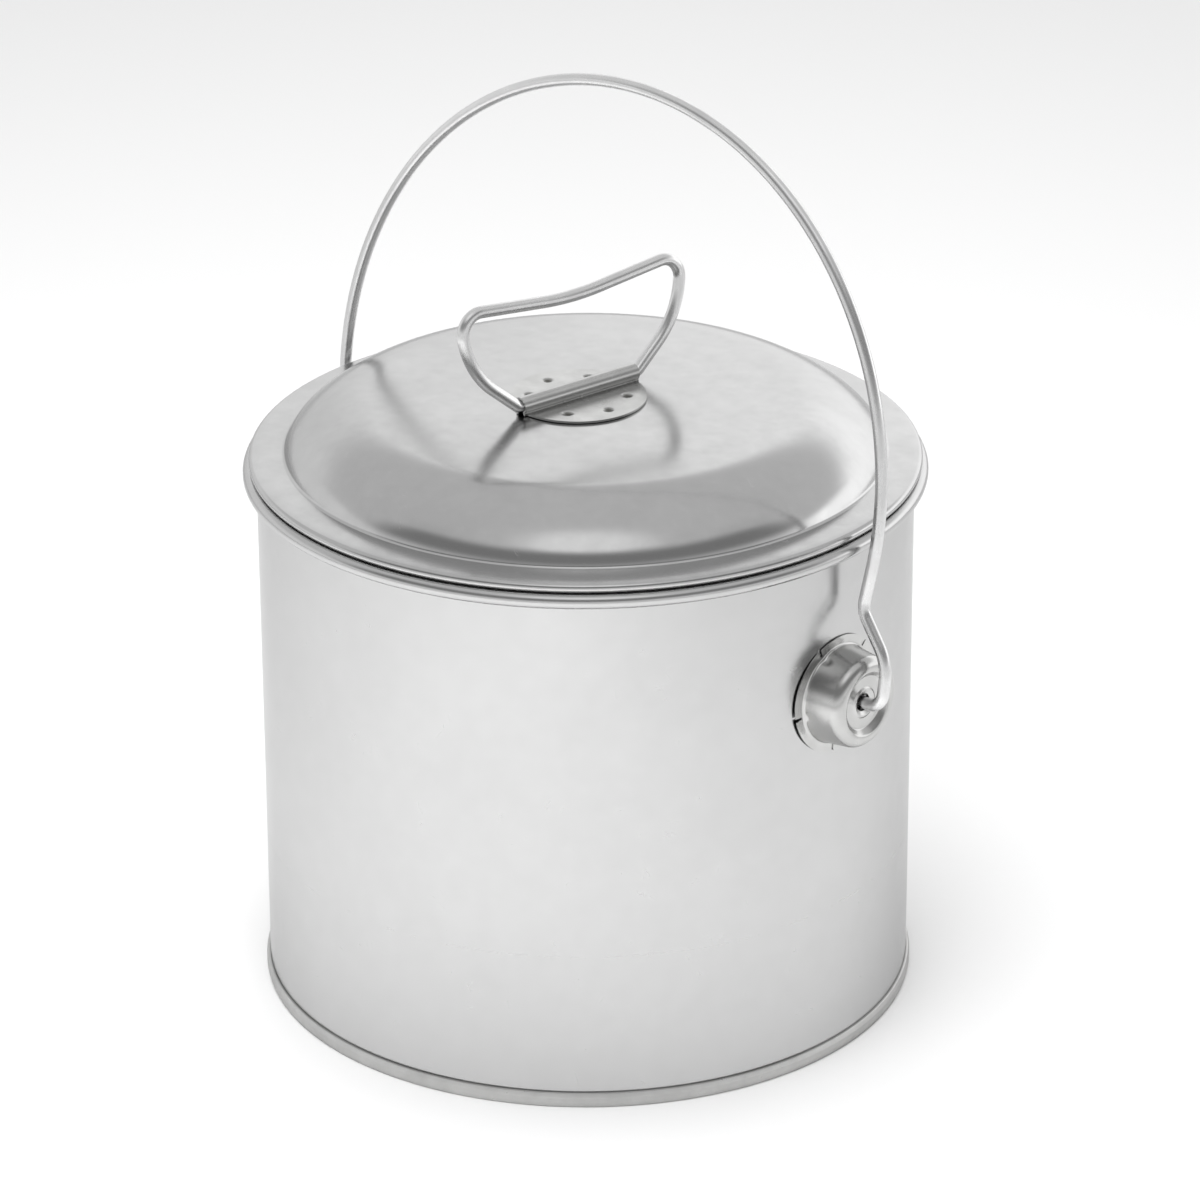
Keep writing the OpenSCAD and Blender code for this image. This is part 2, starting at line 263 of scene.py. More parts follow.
# %% Angles with extra points at the side seam
SEAM_ANGLE = math.pi / 2
SEAM_W = 5.0
SEAM_PROUD = 2 * SHEET


def seam_angles(steps, radius, fine=28):
    """Evenly spaced angles, with those near the seam replaced by fine ones."""
    half = 0.8 * SEAM_W / radius
    coarse = full_turn(steps)
    coarse = coarse[np.abs(coarse - SEAM_ANGLE) > half + math.pi / steps]
    return np.sort(np.concatenate([coarse, SEAM_ANGLE + np.linspace(-half, half, fine)]))


def smooth_step(x, start, stop):
    """0 before start, 1 after stop, and 3t^2 - 2t^3 between."""
    t = np.clip((x - start) / (stop - start), 0, 1)
    return t * t * (3 - 2 * t)


def uneven(angles, z, low, high, amount):
    """A slow wave round the can: sines with 3, 5 and 8 turns of the angle that drift with height, their
    sum brought back to one, and faded out at both ends of the straight wall."""
    weights = (1.0, 0.7, 0.5)
    wave = weights[0] * np.sin(3 * angles + 0.011 * z)
    wave += weights[1] * np.sin(5 * angles - 0.023 * z + 1.1)
    wave += weights[2] * np.sin(8 * angles + 0.031 * z + 2.3)
    fade = 12
    inside = smooth_step(z, low, low + fade) * (1 - smooth_step(z, high - fade, high))
    return amount * wave / sum(weights) * inside


print("the seam takes", round(math.degrees(SEAM_W / wall_r), 1), "degrees of the wall")


# %% Roll the wall
rim_ring_r = rim_r - wrap_r
rim_ring_z = rim_top - wrap_r
FOOT_SEAM_H = 5.2
WRAP_START, WRAP_END = 176, -135
WAVE, WAVE_INSET = 0.12, 0.03
hook_r = wall_r + 2 * LAYER + SHEET
hook_z = LAYER + 2 * SHEET
side = rounded([
    (hook_r, FOOT_SEAM_H - SHEET), (hook_r, hook_z), (wall_r, hook_z), (wall_r, rim_ring_z - 0.4)
])
wrap = arc((rim_ring_r, rim_ring_z), WIRE_R + LAYER, WRAP_START, WRAP_END, 44)
wall_outline = sheet_outline(np.concatenate([resample(side, 3.0), wrap]))
wall_angles = seam_angles(384, wall_r)
wall_rings = turned(wall_outline, wall_angles)

# %% Let the wall wander and raise its seam
off_wall = np.abs(wall_outline[:, :1] - wall_r)
on_wall, outer_face = off_wall < 0.6, off_wall < 0.05
heights = wall_outline[:, 1:]
wave = uneven(wall_angles, heights, FOOT_SEAM_H + 2, rim_ring_z - 4, WAVE)
beside_seam = np.abs(wall_angles - SEAM_ANGLE) * wall_r
proud = SEAM_PROUD * (1 - smooth_step(beside_seam, SEAM_W / 2 - 0.4, SEAM_W / 2 + 0.1))
above_foot = smooth_step(heights, FOOT_SEAM_H + 0.4, FOOT_SEAM_H + 1.2)
below_rim = 1 - smooth_step(heights, rim_ring_z - 4.2, rim_ring_z - 3.2)
outwards = np.where(on_wall, wave - WAVE_INSET, 0) + np.where(outer_face, proud * above_foot * below_rim, 0)
wall_rings[..., 0] += outwards * np.cos(wall_angles)
wall_rings[..., 1] += outwards * np.sin(wall_angles)
around = np.append(wall_angles, wall_angles[0] + 2 * math.pi) * wall_r
can_wall = skin("can_wall", wall_rings, around, closed=True, crease=40)
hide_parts("body_wall")
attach(can_wall, "can")

# %% [markdown]
# ## The bottom
# The bottom is a disc with a raised panel, whose rim is folded over the foot of the wall and squeezed
# flat: a double seam. It could be modelled as a ring and a disc, but the fold is what shows, as the
# round bright bead round the foot, so the whole sheet is one outline again, from the centre out.

# %% Fold the bottom
PANEL_LIFT, PANEL_STEP, STEP_IN, STEP_OUT = 4.0, 0.7, 9, 7
BEAD_LOW, BEAD_HIGH, BEAD_IN = 1.5, 3.5, 0.5
BOTTOM_STEPS = 288
chuck_r = wall_r - 2 * SHEET - LAYER
fold_r = wall_r + LAYER
bead_r = foot_r - BEAD_IN
pan_path = rounded([
    (0.01, PANEL_LIFT), (chuck_r - STEP_IN, PANEL_LIFT, 1.5),
    (chuck_r - STEP_OUT, PANEL_LIFT - PANEL_STEP, 1.5), (chuck_r, PANEL_LIFT - PANEL_STEP, 1.0),
    (chuck_r, 0, 0.15), (bead_r, 0, 0.45), (foot_r, BEAD_LOW, 2.0), (foot_r, BEAD_HIGH, 2.0),
    (bead_r, FOOT_SEAM_H, 0.42), (fold_r, FOOT_SEAM_H, 0.1), (fold_r, 2.2 * SHEET),
])
pan_rings = turned(sheet_outline(resample(pan_path, 6.0)), full_turn(BOTTOM_STEPS))
middles = [(0, 0, PANEL_LIFT), (0, 0, PANEL_LIFT + SHEET)]
bottom = skin("can_bottom", pan_rings, round_mm(foot_r, BOTTOM_STEPS), ends=middles, crease=50)
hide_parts("base_pan")
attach(bottom, "can")

# %% [markdown]
# ## The ears
# Each ear is a cup drawn from a small disc: a flat flange, a tapered wall, a round lip and a sunk
# centre with the hole for the bail. The flange is cut into petals by narrow notches, so that it could
# be pressed without wrinkling. A boolean cut would do it, but a surface on a grid can do it by itself:
# at the angle of a notch the flange's radius is pulled in to the notch's root.

# %% Press one ear
HOLE_R = 3.0
FLANGE_R, CUP_R, LIP_R, LIP_IN, DISH_R, DISH_DEPTH = 19.7, 16.4, 14.9, 10.9, 8.9, 2.0
PETALS, NOTCH_TURN, NOTCH_W, NOTCH_ROOT = 5, math.radians(64), 0.9, 17.3
PETAL_LIFT, PUCKER, BENT_BACK = 0.12, 0.55, 0.65
EAR_STEPS, MEAN_R = 432, 16


def ear_rings(depth):
    """Outline of the cup about its own axis, which is the height; depth is the height of the lip. The
    edge of the hole stands up in a small ring. The petals are lifted by 1 + sin(2.4 n), each a little
    differently, and beside each notch the cup is drawn in by a bell curve."""
    face, dish = SHEET, depth - DISH_DEPTH
    path = rounded([
        (FLANGE_R, face), (CUP_R, face, 0.9), (LIP_R, depth, 3.6), (LIP_IN, depth, 1.9), (DISH_R, dish, 1.2),
        (HOLE_R + 2.4, dish, 0.8), (HOLE_R + 1.6, dish + 0.5, 0.5),
        (HOLE_R + 0.5, dish, 0.3), (HOLE_R, dish - 0.25),
    ], steps=12)
    outline = sheet_outline(resample(path, 1.0))
    angles = full_turn(EAR_STEPS)
    rings = turned(outline, angles)
    gap = (angles - NOTCH_TURN + math.pi / PETALS) % (2 * math.pi / PETALS) - math.pi / PETALS
    r = np.hypot(rings[..., 0], rings[..., 1])
    open_here = 1 - smooth_step(np.abs(gap) * r, NOTCH_W / 2 - 0.1, NOTCH_W / 2 + 0.1)
    on_flange = smooth_step(r, NOTCH_ROOT, NOTCH_ROOT + 0.05)
    pulled = r - (r - NOTCH_ROOT) * open_here * on_flange
    pucker = PUCKER * np.exp(-(gap * r / 1.5) ** 2) * np.exp(-((rings[..., 2] - 2.0) / 1.3) ** 2)
    petal = np.round((angles - NOTCH_TURN) * PETALS / (2 * math.pi) - 0.5)
    lifted = PETAL_LIFT * (1 + np.sin(2.4 * petal)) * smooth_step(r, NOTCH_ROOT + 0.3, FLANGE_R)
    scale = (pulled - pucker * (r < NOTCH_ROOT + 0.2)) / r
    return np.stack([rings[..., 0] * scale, rings[..., 1] * scale, rings[..., 2] + lifted], -1)


def make_ear(name, node, toward):
    """The cup's axis becomes +X or -X, its angle zero points down or up, and it stands on the wall:
    its foot is bent back by most of what the round wall falls away, r - sqrt(r^2 - y^2)."""
    local = ear_rings(ear_lip_x - ear_flange_x)
    falls_away = wall_r - np.sqrt(wall_r ** 2 - local[..., 1] ** 2)
    local[..., 2] -= BENT_BACK * falls_away * (1 - smooth_step(local[..., 2], 1.0, 7.0))
    out, across, along = local[..., 2], local[..., 1], local[..., 0]
    rings = np.stack([toward * (ear_flange_x + out), across, ear_z - toward * along], -1)
    ear = skin(name, rings, round_mm(MEAN_R, EAR_STEPS), closed=True, crease=45)
    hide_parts(node)
    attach(ear, "can")
    return ear


ears = [make_ear("ear_cup_right", "ear_right", 1), make_ear("ear_cup_left", "ear_left", -1)]

# %% [markdown]
# ## The bail
# The bail is one tinned wire. Inside each ear its end is turned up so that it can't pull out; outside
# it swings round the lip of the ear, kinks back to the rim and rises into an arch a little over half
# a circle. It is a path first: a run of corners for one side, mirrored, with the arch between. The
# leg meets the arch on a tangent, so the angle where the arch starts follows from the kink.

# %% Bend the bail
ARCH_LIFT, ARCH_GAP, KINK_GAP, KINK_H, BULGE_H = 57.6, 8.9, 6.3, 29.8, 15.2
BAIL_LEAN = math.radians(8.6)
bulge_x = box_mm("bail")[1][0] - WIRE_R
arch_r = wall_r + ARCH_GAP
hook_x = ear_lip_x - DISH_DEPTH - SHEET - 2 * WIRE_R
HOOK_H = 7.5
kink = np.array([wall_r + KINK_GAP, KINK_H - ARCH_LIFT])
below = -math.atan2(kink[1], kink[0]) - math.acos(arch_r / np.linalg.norm(kink))
springing = np.array([0, ARCH_LIFT]) + arch_r * np.array([math.cos(below), -math.sin(below)])
bail_side = rounded([
    (hook_x, HOOK_H), (hook_x, 0, 3), (bulge_x, 0, 5), (bulge_x, BULGE_H, 16),
    (wall_r + KINK_GAP, KINK_H, 8), tuple(springing),
], steps=14)
arch = arc((0, ARCH_LIFT), arch_r, -math.degrees(below), 180 + math.degrees(below), 120)[1:-1]
bail_path = np.concatenate([bail_side, arch, (bail_side * [-1, 1])[::-1]])


def leaning(rings, lean, origin, about_z=0.0):
    """Turns points about the X axis by minus the lean, then about Z, and moves them to the origin."""
    turn = Matrix.Rotation(about_z, 3, "Z") @ Matrix.Rotation(-lean, 3, "X")
    return rings @ np.array(turn).T + np.array(origin)


def make_wire(name, path, place):
    rings = place(wire_rings(path, WIRE_R))
    ends = place(np.array([[path[0][0], 0, path[0][1]], [path[-1][0], 0, path[-1][1]]]))
    return skin(name, rings, round_mm(WIRE_R, rings.shape[1]), ends=ends, crease=50)


bail = make_wire("bail_wire", resample(bail_path, 4.0), lambda p: leaning(p, BAIL_LEAN, (0, 0, ear_z)))
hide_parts("bail")
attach(bail, "bail")

# %% [markdown]
# ## The lid
# The lid is pressed from one disc: a nearly flat crown, a round shoulder, a side that steepens towards
# its foot, a flat brim, and an edge curled under. The crown is an arc of a very large circle and the
# shoulder an arc of a small one. They meet without a crease when the small circle touches the large one
# from inside. How far out the shoulder sits follows from a straight side of the dome's mean slope, drawn
# down to the foot. The press squeezes the metal hardest at the foot, so from TURN_OFF degrees on the side
# follows a tighter arc, and its steep end draws a thin dark line round the dome.

# %% Press the lid
CURL_R, BRIM_W, BRIM_SLOPE, BRIM_RISE = 1.5, 7.1, 4, 0.45
CROWN_R, SHOULDER_R, SIDE_SLOPE, FOOT_FILLET = 2000.0, 37.3, 53.5, 2.9
TURN_OFF, STEEP, STEEP_R, STEEP_FILLET = 44.5, 70.0, 14.0, 1.2


def down_slope(degrees):
    """The outward normal of a stretch that falls at this angle."""
    return np.array([math.sin(math.radians(degrees)), math.cos(math.radians(degrees))])


curl_ring_r = box_mm("lid_cover")[1][0] - CURL_R
curl_z = lid_edge_z + CURL_R
brim_z = curl_z + CURL_R
dome_foot = curl_ring_r - BRIM_W
side_normal = down_slope(SIDE_SLOPE)
fillet_top = np.array([dome_foot, brim_z + FOOT_FILLET]) - FOOT_FILLET * side_normal
crown_centre = np.array([0, crown_z - CROWN_R])
reach = side_normal @ (fillet_top - crown_centre) - SHOULDER_R
crown_a = SIDE_SLOPE - math.degrees(math.acos(reach / (CROWN_R - SHOULDER_R)))
shoulder_centre = crown_centre + (CROWN_R - SHOULDER_R) * down_slope(crown_a)
print("shoulder meets crown at", round(crown_a, 2), "degrees,", round(shoulder_centre[0], 1), "mm out")

# %% Draw its outline from the curled edge to the middle
turn_normal, steep_normal = down_slope(TURN_OFF), down_slope(STEEP)
shoulder_end = shoulder_centre + SHOULDER_R * turn_normal
fall = STEEP_FILLET * (1 - steep_normal[1]) + STEEP_R * (turn_normal[1] - steep_normal[1])
spare = (shoulder_end[1] - fall - brim_z - BRIM_RISE) / turn_normal[0]
steep_centre = shoulder_end - spare * left(turn_normal) - STEEP_R * turn_normal
fillet_centre = steep_centre + (STEEP_R + STEEP_FILLET) * steep_normal
lid_path = np.concatenate([
    arc((curl_ring_r, curl_z), CURL_R, 150, 446, 36),
    arc(fillet_centre, STEEP_FILLET, 270 - BRIM_SLOPE, 270 - STEEP, 14),
    arc(steep_centre, STEEP_R, 90 - STEEP, 90 - TURN_OFF, 16)[1:],
    arc(shoulder_centre, SHOULDER_R, 90 - TURN_OFF, 90 - crown_a, 28),
    arc(crown_centre, CROWN_R, 90 - crown_a, 90.0, 24)[1:-1],
])
print("straight left on the side:", round(spare, 2), "mm; foot at", round(fillet_centre[0], 1), "mm radius")
LID_STEPS = 320
lid_path = resample(lid_path, 2.5)
lid_outline = sheet_outline(np.vstack([lid_path, [[0.02, crown_z]]]))
lid_rings = turned(lid_outline, full_turn(LID_STEPS))


# %% A hand-pressed unevenness
def sag(rings, amount):
    """Lowers the crown and shoulder by a slow wave: two products of sines of x and y, faded to nothing
    at the foot of the dome and at its middle. The wave is kept below zero, so the lid only sinks."""
    x, y = rings[..., 0], rings[..., 1]
    r = np.hypot(x, y)
    wave = np.sin(x / 19 + 0.4) * np.sin(y / 23 + 1.3)
    wave += 0.6 * np.sin((x + y) / 13 + 2.0) * np.sin((x - 2 * y) / 31)
    faded = (1 - smooth_step(r, 70, 98)) * smooth_step(r, 0, 30)
    return amount * (wave - 1.6) / 2 * faded


SAG = 0.10
lid_rings[..., 2] += sag(lid_rings, SAG)
lid_rows = len(lid_path) + 1
inside_out = np.concatenate([lid_rings[lid_rows:], lid_rings[:lid_rows]])
middles = [(0, 0, crown_z - SHEET), (0, 0, crown_z)]
lid = skin("lid_dome", inside_out, round_mm(dome_foot, LID_STEPS), ends=middles, crease=45)
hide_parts("lid_cover")
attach(lid, "lid")

# %% [markdown]
# ## The skirt
# Under the brim a band reaches down into the mouth, so that the lid can't slide off. Only its lower
# edge shows when the lid is lifted. It has a hem: a real band is never left with a raw edge.

# %% Roll the skirt
HEM, SKIRT_TOP_IN, SKIRT_STEPS = 4.5, 3.4, 288
skirt_low, skirt_high = box_mm("lid_skirt")
skirt_r, bottom_edge = skirt_high[0], skirt_low[2]
hem_r = skirt_r - SHEET - 0.1
skirt_path = rounded([
    (hem_r, bottom_edge + HEM), (hem_r, bottom_edge, 0.1), (skirt_r, bottom_edge, 0.1),
    (skirt_r, skirt_high[2], 0.6), (skirt_r - SKIRT_TOP_IN, skirt_high[2]),
])
skirt_rings = turned(sheet_outline(resample(skirt_path, 3.0), SHEET / 2), full_turn(SKIRT_STEPS))
skirt = skin("lid_band", skirt_rings, round_mm(skirt_r, SKIRT_STEPS), closed=True, crease=45)
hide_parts("lid_skirt")
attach(skirt, "lid")

# %% [markdown]
# ## The bracket
# The bracket is a round plate of tin with a barrel rolled across it, spot welded to the crown. Seen
# from the end it is one sheet shaped like an omega: flat, a tight fold up, most of a circle over the
# wire, a fold down and flat again. That outline is carried along the barrel, and the flat part is
# as wide as the circle of the plate is there. The spot welds are small round dents in the top face.

# %% Shape the bracket
PLATE_R, BARREL_L, BARREL_MID_R, FOLD_R, PLATE_T = 22.5, 47.0, 2.5, 0.5, 0.7
WELD_R, WELD_TURNS = 16.0, np.radians([40, 90, 140, -40, -90, -140])
DENT_DEPTH, DENT_R = 0.5, 1.45
plate_low = box_mm("handle_bracket")[0][2] - barrel_mid[2]
fold_z = plate_low + PLATE_T / 2 + FOLD_R
fold_y = math.sqrt((BARREL_MID_R + FOLD_R) ** 2 - fold_z ** 2)
touch = math.degrees(math.atan2(-fold_z, fold_y))
half_omega = np.concatenate([
    arc((fold_y, fold_z), FOLD_R, 270, 180 - touch, 8), arc((0, 0), BARREL_MID_R, -touch, 90, 22)[1:]
])
across_plate = PLATE_R * np.sin(np.radians(np.linspace(-90, 90, 150)))
stations = np.concatenate([[-BARREL_L / 2], across_plate, [BARREL_L / 2]])
across = np.linspace(1, 0, 44)


def omega(along):
    """The flat run is stretched between the fold and the circle of the plate; both halves mirror."""
    edge = max(math.sqrt(max(PLATE_R ** 2 - along ** 2, 0)), fold_y + 0.05)
    flat = np.stack([fold_y + (edge - fold_y) * across, np.full(len(across), fold_z - FOLD_R)], -1)
    half = np.concatenate([flat, half_omega[1:]])
    path = np.concatenate([half, (half * [-1, 1])[::-1][1:]])
    return np.concatenate([far_face(path, PLATE_T / 2), far_face(path, -PLATE_T / 2)[::-1]])


# %% Dent the welds and lay the bracket down
sections = np.stack([omega(x) for x in stations])
x = np.broadcast_to(stations[:, None], sections.shape[:2])
y, z = sections[..., 0], sections[..., 1]
weld_x, weld_y = WELD_R * np.cos(WELD_TURNS), WELD_R * np.sin(WELD_TURNS)
near_weld = np.hypot(x[..., None] - weld_x, y[..., None] - weld_y).min(-1)
on_top = (np.abs(z - (fold_z - FOLD_R + PLATE_T / 2)) < 0.01) & (np.abs(y) > fold_y)
dent = DENT_DEPTH * np.exp(-(near_weld / DENT_R) ** 4) * on_top
barrel_heading = math.atan2(barrel_axis[1], barrel_axis[0])
barrel_turn = Matrix.Rotation(barrel_heading, 3, "Z")
bracket_rings = np.stack([x, y, z - dent], -1) @ np.array(barrel_turn).T + barrel_mid
middle_steps = np.linalg.norm(np.diff(sections[len(stations) // 2], axis=0), axis=1)
omega_mm = np.concatenate([[0], np.cumsum(middle_steps), [0]])
bracket = skin("bracket_plate", bracket_rings, omega_mm, crease=40)
weld_mark = bracket.data.attributes.new("weld_mark", "FLOAT", "POINT")
weld_mark.data.foreach_set("value", (dent / dent.max()).ravel())
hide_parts("handle_bracket")
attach(bracket, "lid")

# %% [markdown]
# ## The lid handle
# The handle is a second wire. Its two ends meet inside the barrel, its legs flare, and its top bar dips
# a little in the middle. It is made as the bail was: corners with their bend radii, and mirrored.

# %% Bend the handle
HANDLE_LEAN = math.radians(5.2)
BAR_MID, DIP_R, TOP_CORNER = 31.0, 110.0, (46.1, 35.9)
HALF_GAP, FLARE = 0.4, (41.7, 14.6)
bar_slope = math.atan2(TOP_CORNER[1] - BAR_MID, TOP_CORNER[0])
along_bar = np.array([math.cos(bar_slope), math.sin(bar_slope)])
dip_end = np.array([0, BAR_MID]) + DIP_R * math.tan(bar_slope) * along_bar
handle_side = rounded([
    (HALF_GAP, 0), (BARREL_L / 2 + 1, 0, 3), (*FLARE, 30), (*TOP_CORNER, 7), tuple(dip_end)
], steps=16)
half_dip = math.degrees(bar_slope)
dip = arc(dip_end + DIP_R * left(along_bar), DIP_R, 270 + half_dip, 270 - half_dip, 16)
handle_path = np.concatenate([handle_side, dip[1:-1], (handle_side * [-1, 1])[::-1]])
handle = make_wire(
    "handle_wire", resample(handle_path, 3.0), lambda p: leaning(p, HANDLE_LEAN, barrel_mid, barrel_heading)
)
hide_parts("lid_handle")
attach(handle, "lid_handle")

# %% [markdown]
# ## Tinplate
# Every piece is steel, tinned: bright, neutral grey, and only half as smooth as chrome. What the eye
# reads as tin is in the roughness and the relief, since a metal has no shading of its own: the fine
# grain of the rolls, cloudy patches where the tin froze, thin scuffs from handling. Each pattern's
# scale is written in millimetres and turned into a texture scale per metre.

# %% Colours and nodes
def linear(hex_colour):
    """sRGB hex to linear: c / 12.92 for small values, else ((c + 0.055) / 1.055) ^ 2.4."""
    c = np.array([int(hex_colour[i:i + 2], 16) for i in (1, 3, 5)]) / 255
    return (*np.where(c <= 0.04045, c / 12.92, ((c + 0.055) / 1.055) ** 2.4).tolist(), 1.0)


def add(tree, kind, inputs=None, **settings):
    """Adds a node with its settings; an input is a value, or an output socket to link from."""
    node = tree.nodes.new("ShaderNode" + kind)
    for key, value in settings.items():
        setattr(node, key, value)
    for key, source in (inputs or {}).items():
        if isinstance(source, bpy.types.NodeSocket):
            tree.links.new(source, node.inputs[key])
        else:
            node.inputs[key].default_value = source
    return node


def per_mm(size):
    """Texture scale, in metres, that makes a feature about this many millimetres wide."""
    return 1 / (size * MM)


def new_material(name):
    material = bpy.data.materials.new(name)
    material.use_nodes = True
    material.node_tree.nodes.clear()
    return material, material.node_tree


# %% One finish, several metals
CLOUD_MM, PATCH_MM, SCUFF_MM = 38, 7, 16
EDGE_TINT = 0.78
BURNT = "#55544F"
RELIEF = 0.02 * MM
RING_DRIFT, RING_WIDTH = 4 * MM, 0.35 * MM
ROUGHER_GRAIN, ROUGHER_SCUFF = 0.08, 0.12


def tinned(
    name, colour, dark, rough, rough_spread, grain_mm, stretch, relief, scuffs,
    uv=False, mark=None, ring_mm=None
):
    """Metal whose colour, roughness and relief come from noises: clouds tens of millimetres wide, grain
    stretched along the rolling direction, and scuffs where a warped noise passes its middle value.
    mark names an attribute that darkens the metal, ring_mm is the height of a worn line round it. The
    edge tint takes back a little of the shine that metal gains where it is seen at a grazing angle."""
    material, tree = new_material(name)
    place = add(tree, "TexCoord").outputs["Object"]
    if uv:
        flat = add(tree, "UVMap", uv_map="sheet_mm").outputs["UV"]
        along = add(tree, "Mapping", {"Vector": flat, "Scale": (MM, MM, MM)}).outputs["Vector"]
    else:
        along = place
    clouds = add(tree, "TexNoise", {
        "Vector": place, "Scale": per_mm(CLOUD_MM), "Detail": 3.0, "Roughness": 0.55
    })
    patches = add(tree, "TexNoise", {
        "Vector": place, "Scale": per_mm(PATCH_MM), "Detail": 4.0, "Roughness": 0.6
    })
    rolled = add(tree, "Mapping", {"Vector": along, "Scale": stretch})
    grain = add(tree, "TexNoise", {
        "Vector": rolled.outputs["Vector"], "Scale": per_mm(grain_mm), "Detail": 2.0
    })
    warped = add(tree, "TexNoise", {
        "Vector": place, "Scale": per_mm(SCUFF_MM), "Detail": 1.5, "Distortion": 1.4
    })
    off_middle = add(tree, "Math", {0: warped.outputs["Fac"], 1: 0.5}, operation="SUBTRACT")
    width = add(tree, "Math", {0: off_middle.outputs[0]}, operation="ABSOLUTE")
    line = add(tree, "MapRange", {
        "Value": width.outputs[0], "From Min": 0.0, "From Max": 0.006, "To Min": 1.0, "To Max": 0.0
    })
    breaks = add(tree, "MapRange", {"Value": patches.outputs["Fac"], "From Min": 0.56, "From Max": 0.66})
    scuff = add(tree, "Math", {0: line.outputs["Result"], 1: breaks.outputs["Result"]}, operation="MULTIPLY")
    if ring_mm:
        level = add(tree, "SeparateXYZ", {"Vector": place}).outputs["Z"]
        drift = add(tree, "Math", {
            0: clouds.outputs["Fac"], 1: RING_DRIFT, 2: level
        }, operation="MULTIPLY_ADD")
        ring_height = ring_mm * MM + RING_DRIFT / 2
        off_ring = add(tree, "Math", {0: drift.outputs[0], 1: ring_height}, operation="SUBTRACT")
        near = add(tree, "Math", {0: off_ring.outputs[0]}, operation="ABSOLUTE")
        worn_line = add(tree, "MapRange", {
            "Value": near.outputs[0], "From Max": RING_WIDTH, "To Min": 1.0, "To Max": 0.0
        })
        patchy = add(tree, "MapRange", {"Value": patches.outputs["Fac"], "From Min": 0.42, "From Max": 0.6})
        scuff = add(tree, "Math", {
            0: worn_line.outputs["Result"], 1: patchy.outputs["Result"], 2: scuff.outputs[0]
        }, operation="MULTIPLY_ADD")
    blend = add(tree, "Math", {0: clouds.outputs["Fac"], 1: patches.outputs["Fac"]}, operation="ADD")
    cloudy = add(tree, "MapRange", {"Value": blend.outputs[0], "From Min": 0.75, "From Max": 1.25})
    tint = add(tree, "Mix", {
        "Factor": cloudy.outputs["Result"], "A": linear(dark), "B": linear(colour)
    }, data_type="RGBA")
    if mark:
        burnt = add(tree, "Attribute", attribute_name=mark).outputs["Fac"]
        tint = add(tree, "Mix", {
            "Factor": burnt, "A": tint.outputs["Result"], "B": linear(BURNT)
        }, data_type="RGBA")
    duller = add(tree, "MapRange", {
        "Value": cloudy.outputs["Result"], "To Min": rough + rough_spread, "To Max": rough - rough_spread
    })
    specks = add(tree, "Math", {0: grain.outputs["Fac"], 1: 0.5}, operation="SUBTRACT")
    grained = add(tree, "Math", {
        0: specks.outputs[0], 1: ROUGHER_GRAIN, 2: duller.outputs["Result"]
    }, operation="MULTIPLY_ADD")
    worn = add(tree, "Math", {
        0: scuff.outputs[0], 1: ROUGHER_SCUFF, 2: grained.outputs[0]
    }, operation="MULTIPLY_ADD")
    height = add(tree, "Math", {
        0: scuff.outputs[0], 1: -scuffs, 2: grain.outputs["Fac"]
    }, operation="MULTIPLY_ADD")
    bump = add(tree, "Bump", {"Height": height.outputs[0], "Strength": relief, "Distance": RELIEF})
    shader = add(tree, "BsdfPrincipled", {
        "Base Color": tint.outputs["Result"], "Roughness": worn.outputs[0], "Normal": bump.outputs["Normal"],
        "Metallic": 1.0, "Specular Tint": (EDGE_TINT, EDGE_TINT, EDGE_TINT, 1.0),
    })
    add(tree, "OutputMaterial", {"Surface": shader.outputs[0]})
    print(f"{name}: {len(tree.nodes)} nodes")
    return material


# %% The finishes
ROUND_GRAIN, ROLLED_GRAIN, DRAWN_GRAIN = (1, 1, 1), (0.12, 1, 1), (1, 0.05, 1)
# Cold-rolled sheet, hot tinned: even and soft, with its grain along the sheet, so reflections are wide.
rolled_tinplate = tinned(
    "rolled_tinplate", "#C8C8C8", "#C5C5C5", 0.22, 0.015, 0.5, ROLLED_GRAIN, 0.05, 3.0, uv=True, ring_mm=54.0
)
# Drawn in a polished die, so it is a little brighter and smoother than the flat sheet, in faint clouds.
lid_tinplate = tinned("drawn_lid_tinplate", "#C8C8C8", "#C2C2C2", 0.19, 0.025, 0.45, ROUND_GRAIN, 0.08, 3.0)
# Pressed deep and small: the tin is stretched and slightly rough, and its lights break up.
pressed_tinplate = tinned("pressed_tinplate", "#CCCCCB", "#C0C0BF", 0.22, 0.04, 0.4, ROUND_GRAIN, 0.3, 1.2)
# The same with the burnt brown-grey of spot welds in its dents.
welded_tinplate = tinned(
    "spot_welded_tinplate", "#CCCCCB", "#C0C0BF", 0.24, 0.04, 0.4, ROUND_GRAIN, 0.3, 1.2, mark="weld_mark"
)
# Sheet that rubs on tables and in the mouth: duller and greyer.
dull_tinplate = tinned("dull_tinplate", "#C2C2C1", "#B6B6B5", 0.32, 0.04, 0.6, ROUND_GRAIN, 0.4, 1.0)
# Drawn wire with a thick coat of tin: bright, with fine lines along it.
tinned_wire = tinned(
    "tinned_drawn_wire", "#E6E6E6", "#DCDCDC", 0.28, 0.03, 0.25, DRAWN_GRAIN, 0.2, 1.0, uv=True
)
# Bare steel wire, grey, hidden inside the rim.
plain_wire = tinned("plain_steel_wire", "#9F9F9E", "#8E8E8D", 0.35, 0.05, 0.3, ROUND_GRAIN, 0.5, 1.0)


def wear(piece, material):
    piece.data.materials.clear()
    piece.data.materials.append(material)


wear(can_wall, rolled_tinplate)
wear(lid, lid_tinplate)
for piece in ears:
    wear(piece, pressed_tinplate)
wear(bracket, welded_tinplate)
for piece in (bottom, skirt):
    wear(piece, dull_tinplate)
for piece in (bail, handle):
    wear(piece, tinned_wire)
wear(frame["nodes"]["rim_wire"], plain_wire)

